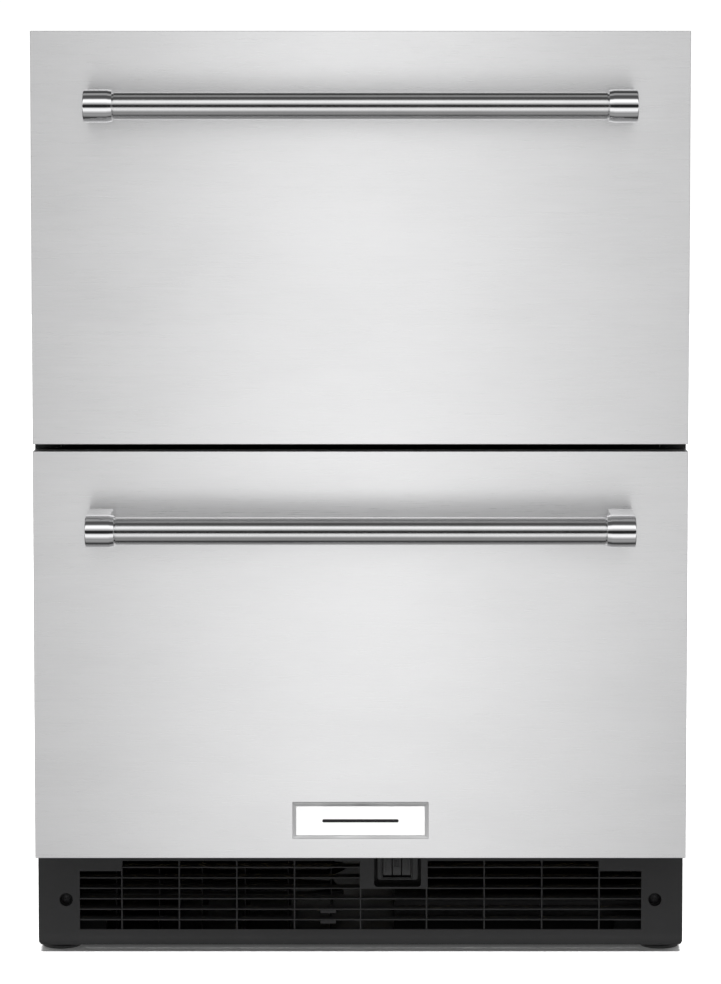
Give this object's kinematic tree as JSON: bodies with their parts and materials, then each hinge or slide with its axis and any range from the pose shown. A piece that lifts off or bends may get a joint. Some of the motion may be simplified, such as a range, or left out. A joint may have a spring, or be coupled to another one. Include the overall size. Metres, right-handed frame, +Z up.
{
  "type": "under counter drawer refrigerator",
  "caption": "Under counter drawer refrigerator with brushed steel fronts, bar handles, toe grille with push switches, levelling feet and a rear compressor compartment.",
  "frame": {"origin": "on the floor under the centre of the bounding box, handles included", "axes": "+Z up, front faces -Y, +X to the right seen from the front"},
  "size_m": [0.606, 0.67, 0.866],
  "materials": {
    "stainless": "horizontally brushed stainless sheet",
    "chrome": "bright chrome, fine knurl on the bars",
    "cabinet_paint": "black powder coat, fine texture",
    "galvanised": "galvanised sheet with faint spangle",
    "black_plastic": "moulded black plastic, satin",
    "white_plastic": "vacuum formed white plastic, soft gloss",
    "bin_plastic": "pale grey moulded plastic, soft gloss",
    "rubber": "dark grey soft rubber",
    "foam": null,
    "door_foam": null,
    "zinc": "bright zinc plated steel",
    "copper": null,
    "aluminium": "mill aluminium",
    "badge": "pale satin plate with a plain dark inset bar",
    "black_steel": "black oxide steel screws"
  },
  "bodies": {
    "cabinet": {"cabinet_wrap": "cabinet_paint", "inner_liner": "white_plastic", "foam_insulation": "foam", "mullion_bar": "black_plastic", "base_frame": "cabinet_paint", "rear_panel": "galvanised", "rear_cover": "galvanised", "power_inlet_gland": "black_plastic", "toe_grille": "black_plastic", "switch_housing": "black_plastic", "grille_screw_left": "black_steel", "grille_screw_right": "black_steel", "compressor_mount": "rubber", "compressor": "cabinet_paint", "condenser_coil": "cabinet_paint", "condenser_fan_frame": "galvanised", "discharge_tube": "copper", "filter_drier": "copper", "drain_pan": "black_plastic", "control_board_box": "white_plastic", "evaporator_cover": "white_plastic", "evaporator_coil": "aluminium", "evaporator_fan_frame": "black_plastic", "control_panel": "white_plastic", "upper_outer_slide_left": "zinc", "upper_outer_slide_right": "zinc", "lower_outer_slide_left": "zinc", "lower_outer_slide_right": "zinc"},
    "upper_drawer": {"upper_front_skin": "stainless", "upper_front_case": "door_foam", "upper_front_liner": "white_plastic", "upper_gasket": "rubber", "upper_handle_bar": "chrome", "upper_handle_bracket_left": "chrome", "upper_handle_bracket_right": "chrome", "upper_bin": "bin_plastic", "upper_drawer_frame": "zinc"},
    "lower_drawer": {"lower_front_skin": "stainless", "lower_front_case": "door_foam", "lower_front_liner": "white_plastic", "lower_gasket": "rubber", "lower_handle_bar": "chrome", "lower_handle_bracket_left": "chrome", "lower_handle_bracket_right": "chrome", "lower_bin": "bin_plastic", "lower_drawer_frame": "zinc", "badge_plate": "badge"},
    "upper_middle_slides": {"upper_middle_slide_left": "zinc", "upper_middle_slide_right": "zinc"},
    "lower_middle_slides": {"lower_middle_slide_left": "zinc", "lower_middle_slide_right": "zinc"},
    "key_left": {"switch_key_left": "black_plastic"},
    "key_middle": {"switch_key_middle": "black_plastic"},
    "key_right": {"switch_key_right": "black_plastic"},
    "condenser_fan": {"condenser_fan_blade": "aluminium"},
    "evaporator_fan": {"evaporator_fan_blade": "black_plastic"},
    "leg_front_left": {"levelling_leg_front_left": "rubber"},
    "leg_front_right": {"levelling_leg_front_right": "rubber"},
    "leg_rear_left": {"levelling_leg_rear_left": "rubber"},
    "leg_rear_right": {"levelling_leg_rear_right": "rubber"}
  },
  "joints": [
    {"name": "upper_drawer_slide", "type": "slide", "parent": "cabinet", "child": "upper_drawer", "axis": [0, -1, 0], "range_m": [0, 0.42]},
    {"name": "lower_drawer_slide", "type": "slide", "parent": "cabinet", "child": "lower_drawer", "axis": [0, -1, 0], "range_m": [0, 0.42]},
    {"name": "upper_middle_slide", "type": "slide", "parent": "cabinet", "child": "upper_middle_slides", "axis": [0, -1, 0], "range_m": [0, 0.21]},
    {"name": "lower_middle_slide", "type": "slide", "parent": "cabinet", "child": "lower_middle_slides", "axis": [0, -1, 0], "range_m": [0, 0.21]},
    {"name": "key_left_push", "type": "slide", "parent": "cabinet", "child": "key_left", "axis": [0, 1, 0], "range_m": [0, 0.0018], "stiffness_N_per_m": 400, "springref_m": -0.001},
    {"name": "key_middle_push", "type": "slide", "parent": "cabinet", "child": "key_middle", "axis": [0, 1, 0], "range_m": [0, 0.0018], "stiffness_N_per_m": 400, "springref_m": -0.001},
    {"name": "key_right_push", "type": "slide", "parent": "cabinet", "child": "key_right", "axis": [0, 1, 0], "range_m": [0, 0.0018], "stiffness_N_per_m": 400, "springref_m": -0.001},
    {"name": "condenser_fan_spin", "type": "hinge", "parent": "cabinet", "child": "condenser_fan", "pos_m": [-0.15, 0.141, 0.096], "axis": [0, 1, 0], "continuous": true},
    {"name": "evaporator_fan_spin", "type": "hinge", "parent": "cabinet", "child": "evaporator_fan", "pos_m": [0, 0.262, 0.568], "axis": [0, 1, 0], "continuous": true},
    {"name": "leg_front_left_screw", "type": "slide", "parent": "cabinet", "child": "leg_front_left", "axis": [0, 0, -1], "range_m": [0, 0.019]},
    {"name": "leg_front_right_screw", "type": "slide", "parent": "cabinet", "child": "leg_front_right", "axis": [0, 0, -1], "range_m": [0, 0.019]},
    {"name": "leg_rear_left_screw", "type": "slide", "parent": "cabinet", "child": "leg_rear_left", "axis": [0, 0, -1], "range_m": [0, 0.019]},
    {"name": "leg_rear_right_screw", "type": "slide", "parent": "cabinet", "child": "leg_rear_right", "axis": [0, 0, -1], "range_m": [0, 0.019]}
  ],
  "couplings": [
    {"joint": "upper_middle_slide", "follows": "upper_drawer_slide", "ratio": 0.5},
    {"joint": "lower_middle_slide", "follows": "lower_drawer_slide", "ratio": 0.5}
  ]
}
